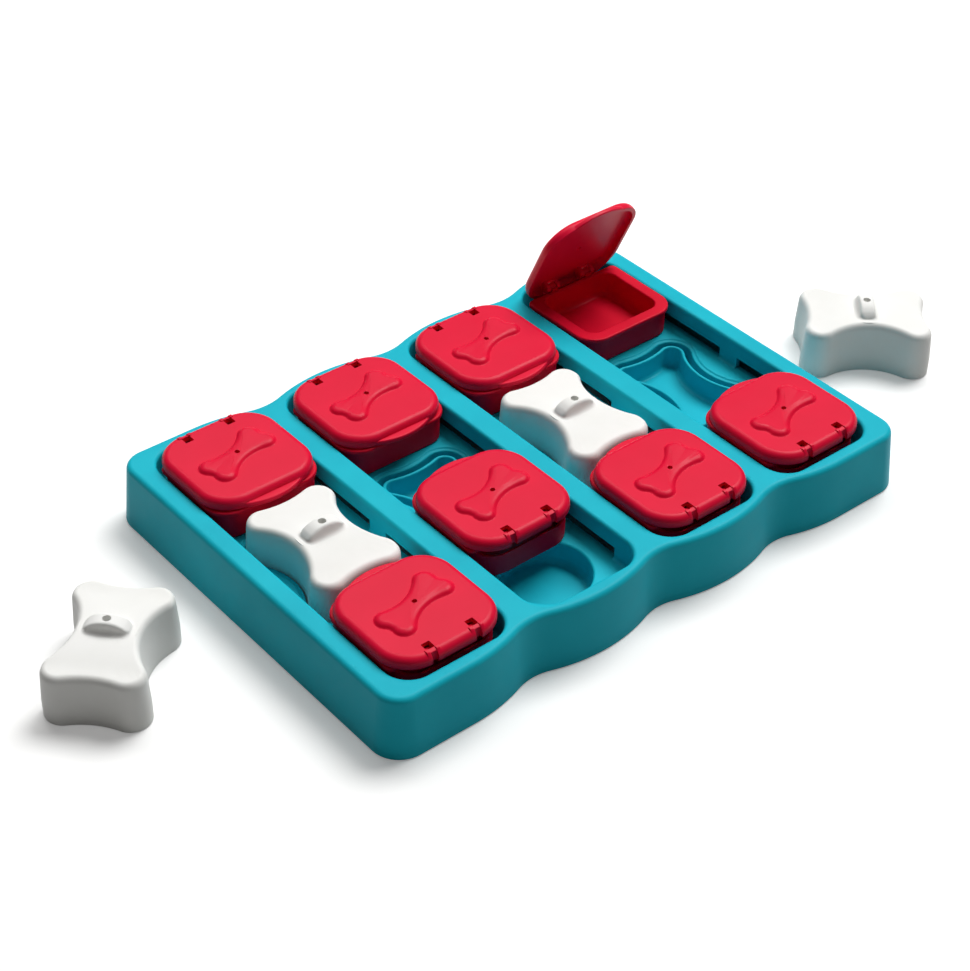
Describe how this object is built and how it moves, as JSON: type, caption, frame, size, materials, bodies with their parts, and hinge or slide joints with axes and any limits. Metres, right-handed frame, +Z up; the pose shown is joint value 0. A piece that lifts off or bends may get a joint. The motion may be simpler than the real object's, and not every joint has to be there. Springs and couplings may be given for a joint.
{
  "type": "dog puzzle feeder",
  "caption": "Dog puzzle feeder board with lanes of sliding treat boxes under hinged lids and bone-shaped lift-off covers.",
  "frame": {"origin": "centre of the board, on the plane that the skirt's lower edge stands on", "axes": "+X across the lanes from lane one to lane four, +Y along the lanes to the rear row of boxes, +Z up"},
  "size_m": [0.5306, 0.2254, 0.0892],
  "materials": {
    "board_plastic": "satin moulded",
    "box_plastic": "satin moulded",
    "lid_plastic": "satin moulded",
    "cover_plastic": "satin moulded"
  },
  "bodies": {
    "board": {"board_skirt": "board_plastic", "deck_1a": "board_plastic", "deck_1b": "board_plastic", "deck_2a": "board_plastic", "deck_2b": "board_plastic", "deck_3a": "board_plastic", "deck_3b": "board_plastic", "deck_4a": "board_plastic", "deck_4b": "board_plastic", "lane_channel_1": "board_plastic", "lane_channel_2": "board_plastic", "lane_channel_3": "board_plastic", "lane_channel_4": "board_plastic", "lane_floor_1": "board_plastic", "lane_floor_2": "board_plastic", "lane_floor_3": "board_plastic", "lane_floor_4": "board_plastic", "end_well_1a": "board_plastic", "end_well_1b": "board_plastic", "end_well_2a": "board_plastic", "end_well_2b": "board_plastic", "end_well_3a": "board_plastic", "end_well_3b": "board_plastic", "end_well_4a": "board_plastic", "end_well_4b": "board_plastic", "cover_seat_1": "board_plastic", "cover_seat_2": "board_plastic", "cover_seat_3": "board_plastic", "cover_seat_4": "board_plastic", "seat_rim_1": "board_plastic", "seat_rim_2": "board_plastic", "seat_rim_3": "board_plastic", "seat_rim_4": "board_plastic"},
    "box_1a": {"box_cup_1a": "box_plastic"},
    "lid_1a": {"box_lid_1a": "lid_plastic"},
    "box_1b": {"box_cup_1b": "box_plastic"},
    "lid_1b": {"box_lid_1b": "lid_plastic"},
    "cover_1": {"bone_cover_1": "cover_plastic", "cover_grip_1": "cover_plastic"},
    "box_2a": {"box_cup_2a": "box_plastic"},
    "lid_2a": {"box_lid_2a": "lid_plastic"},
    "box_2b": {"box_cup_2b": "box_plastic"},
    "lid_2b": {"box_lid_2b": "lid_plastic"},
    "cover_2": {"bone_cover_2": "cover_plastic", "cover_grip_2": "cover_plastic"},
    "box_3a": {"box_cup_3a": "box_plastic"},
    "lid_3a": {"box_lid_3a": "lid_plastic"},
    "box_3b": {"box_cup_3b": "box_plastic"},
    "lid_3b": {"box_lid_3b": "lid_plastic"},
    "cover_3": {"bone_cover_3": "cover_plastic", "cover_grip_3": "cover_plastic"},
    "box_4a": {"box_cup_4a": "box_plastic"},
    "lid_4a": {"box_lid_4a": "lid_plastic"},
    "box_4b": {"box_cup_4b": "box_plastic"},
    "lid_4b": {"box_lid_4b": "lid_plastic"},
    "cover_4": {"bone_cover_4": "cover_plastic", "cover_grip_4": "cover_plastic"}
  },
  "joints": [
    {"name": "slide_1a", "type": "slide", "parent": "board", "child": "box_1a", "axis": [0, 1, 0], "range_m": [-0.003, 0]},
    {"name": "lid_hinge_1a", "type": "hinge", "parent": "box_1a", "child": "lid_1a", "pos_m": [-0.11595, 0.0933, 0.0354], "axis": [-1, 0, 0], "range_deg": [0, 100]},
    {"name": "slide_1b", "type": "slide", "parent": "board", "child": "box_1b", "axis": [0, 1, 0], "range_m": [0, 0.003]},
    {"name": "lid_hinge_1b", "type": "hinge", "parent": "box_1b", "child": "lid_1b", "pos_m": [-0.11595, -0.0933, 0.0354], "axis": [1, 0, 0], "range_deg": [0, 100]},
    {"name": "cover_lift_1", "type": "slide", "parent": "board", "child": "cover_1", "axis": [0, 0, 1], "range_m": [0, 0.06]},
    {"name": "slide_2a", "type": "slide", "parent": "board", "child": "box_2a", "axis": [0, 1, 0], "range_m": [-0.029, 0]},
    {"name": "lid_hinge_2a", "type": "hinge", "parent": "box_2a", "child": "lid_2a", "pos_m": [-0.03865, 0.0933, 0.0354], "axis": [-1, 0, 0], "range_deg": [0, 100]},
    {"name": "slide_2b", "type": "slide", "parent": "board", "child": "box_2b", "axis": [0, 1, 0], "range_m": [-0.0395, 0]},
    {"name": "lid_hinge_2b", "type": "hinge", "parent": "box_2b", "child": "lid_2b", "pos_m": [-0.03865, -0.0538, 0.0354], "axis": [1, 0, 0], "range_deg": [0, 100]},
    {"name": "cover_lift_2", "type": "slide", "parent": "board", "child": "cover_2", "axis": [0, 0, 1], "range_m": [0, 0.06]},
    {"name": "slide_3a", "type": "slide", "parent": "board", "child": "box_3a", "axis": [0, 1, 0], "range_m": [-0.003, 0]},
    {"name": "lid_hinge_3a", "type": "hinge", "parent": "box_3a", "child": "lid_3a", "pos_m": [0.03865, 0.0933, 0.0354], "axis": [-1, 0, 0], "range_deg": [0, 100]},
    {"name": "slide_3b", "type": "slide", "parent": "board", "child": "box_3b", "axis": [0, 1, 0], "range_m": [0, 0.003]},
    {"name": "lid_hinge_3b", "type": "hinge", "parent": "box_3b", "child": "lid_3b", "pos_m": [0.03865, -0.0933, 0.0354], "axis": [1, 0, 0], "range_deg": [0, 100]},
    {"name": "cover_lift_3", "type": "slide", "parent": "board", "child": "cover_3", "axis": [0, 0, 1], "range_m": [0, 0.06]},
    {"name": "slide_4a", "type": "slide", "parent": "board", "child": "box_4a", "axis": [0, 1, 0], "range_m": [-0.0395, 0]},
    {"name": "lid_hinge_4a", "type": "hinge", "parent": "box_4a", "child": "lid_4a", "pos_m": [0.11595, 0.0933, 0.0354], "axis": [-1, 0, 0], "range_deg": [-65.4, 34.6]},
    {"name": "slide_4b", "type": "slide", "parent": "board", "child": "box_4b", "axis": [0, 1, 0], "range_m": [0, 0.0395]},
    {"name": "lid_hinge_4b", "type": "hinge", "parent": "box_4b", "child": "lid_4b", "pos_m": [0.11595, -0.0933, 0.0354], "axis": [1, 0, 0], "range_deg": [0, 100]},
    {"name": "cover_lift_4", "type": "slide", "parent": "board", "child": "cover_4", "axis": [0, 0, 1], "range_m": [0, 0.06]}
  ]
}
